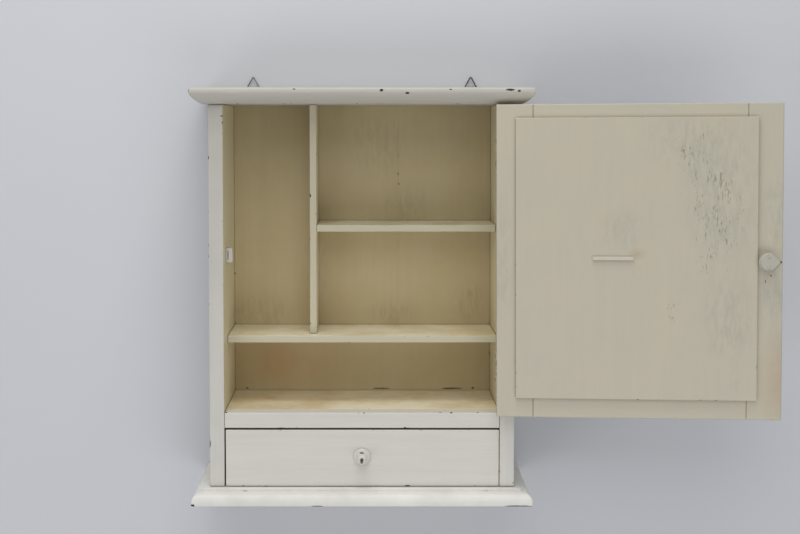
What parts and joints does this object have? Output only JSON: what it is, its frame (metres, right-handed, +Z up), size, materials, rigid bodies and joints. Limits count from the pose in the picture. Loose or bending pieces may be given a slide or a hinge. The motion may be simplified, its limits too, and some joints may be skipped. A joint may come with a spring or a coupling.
{
  "type": "medicine cabinet",
  "caption": "Wall-hung painted wooden medicine cabinet with an inset mirror door, open shelves, a turn latch and a small drawer below.",
  "frame": {"origin": "middle of the back's rear face, on the wall: halfway across, 281.5 mm above the underside of the base board", "axes": "+X to the right as seen from the front, +Y into the wall, +Z up"},
  "size_m": [0.7847, 0.2118, 0.5843],
  "materials": {
    "outside_paint": "aged off-white brushed paint, satin",
    "inside_paint": "yellowed cream brushed paint, satin",
    "door_paint": "greenish cream brushed paint, satin, crazed",
    "drawer_box": "bare softwood",
    "mirror": "silvered glass",
    "hinges": "old brass with paint on it",
    "screws": "dull steel",
    "hangers": "dull steel wire"
  },
  "bodies": {
    "carcass": {"back_panel_left": "inside_paint", "back_panel_right": "inside_paint", "base_board": "outside_paint", "compartment_floor": "inside_paint", "divider": "inside_paint", "drawer_rail": "outside_paint", "hanger_plate_left": "hangers", "hanger_plate_right": "hangers", "hanger_screw_left_high": "screws", "hanger_screw_left_low": "screws", "hanger_screw_right_high": "screws", "hanger_screw_right_low": "screws", "hinge_lower_pin": "hinges", "hinge_lower_side_leaf": "hinges", "hinge_lower_side_leaf_screw_high": "screws", "hinge_lower_side_leaf_screw_low": "screws", "hinge_upper_pin": "hinges", "hinge_upper_side_leaf": "hinges", "hinge_upper_side_leaf_screw_high": "screws", "hinge_upper_side_leaf_screw_low": "screws", "keeper_screw": "screws", "latch_keeper": "inside_paint", "lower_shelf": "inside_paint", "side_left": "outside_paint", "side_right": "outside_paint", "top_board": "outside_paint", "upper_shelf": "inside_paint"},
    "door": {"door_back_board": "door_paint", "door_board_strip": "door_paint", "door_rail_bottom": "door_paint", "door_rail_top": "door_paint", "door_stile_hinge": "door_paint", "door_stile_latch": "door_paint", "hinge_lower_door_leaf": "hinges", "hinge_lower_door_leaf_screw_high": "screws", "hinge_lower_door_leaf_screw_low": "screws", "hinge_upper_door_leaf": "hinges", "hinge_upper_door_leaf_screw_high": "screws", "hinge_upper_door_leaf_screw_low": "screws", "latch_rose": "outside_paint", "mirror_glass": "mirror"},
    "latch": {"latch_knob": "outside_paint", "latch_spindle": "screws", "latch_disc": "outside_paint", "latch_stud_upper": "screws", "latch_stud_lower": "screws"},
    "drawer": {"drawer_back": "drawer_box", "drawer_bottom": "drawer_box", "drawer_front": "outside_paint", "drawer_knob": "outside_paint", "drawer_knob_screw": "screws", "drawer_side_left": "drawer_box", "drawer_side_right": "drawer_box"},
    "hanger_left": {"hanger_ring_left": "hangers"},
    "hanger_right": {"hanger_ring_right": "hangers"}
  },
  "joints": [
    {"name": "door_hinge", "type": "hinge", "parent": "carcass", "child": "door", "pos_m": [0.1837, -0.1448, 0.049], "axis": [-0.0031, 0, 1], "range_deg": [-175.5, 4.5]},
    {"name": "latch_turn", "type": "hinge", "parent": "door", "child": "latch", "pos_m": [0.52982, -0.19592, 0.05568], "axis": [-0.0785, -0.9969, -0.0002], "continuous": true},
    {"name": "drawer_slide", "type": "slide", "parent": "carcass", "child": "drawer", "axis": [0, -1, 0], "range_m": [0, 0.105]},
    {"name": "left_ring_swing", "type": "hinge", "parent": "carcass", "child": "hanger_left", "pos_m": [-0.1595, -0.002, 0.2861], "axis": [1, 0, 0], "range_deg": [-165, 90]},
    {"name": "right_ring_swing", "type": "hinge", "parent": "carcass", "child": "hanger_right", "pos_m": [0.1585, -0.002, 0.2861], "axis": [1, 0, 0], "range_deg": [-165, 90]}
  ]
}
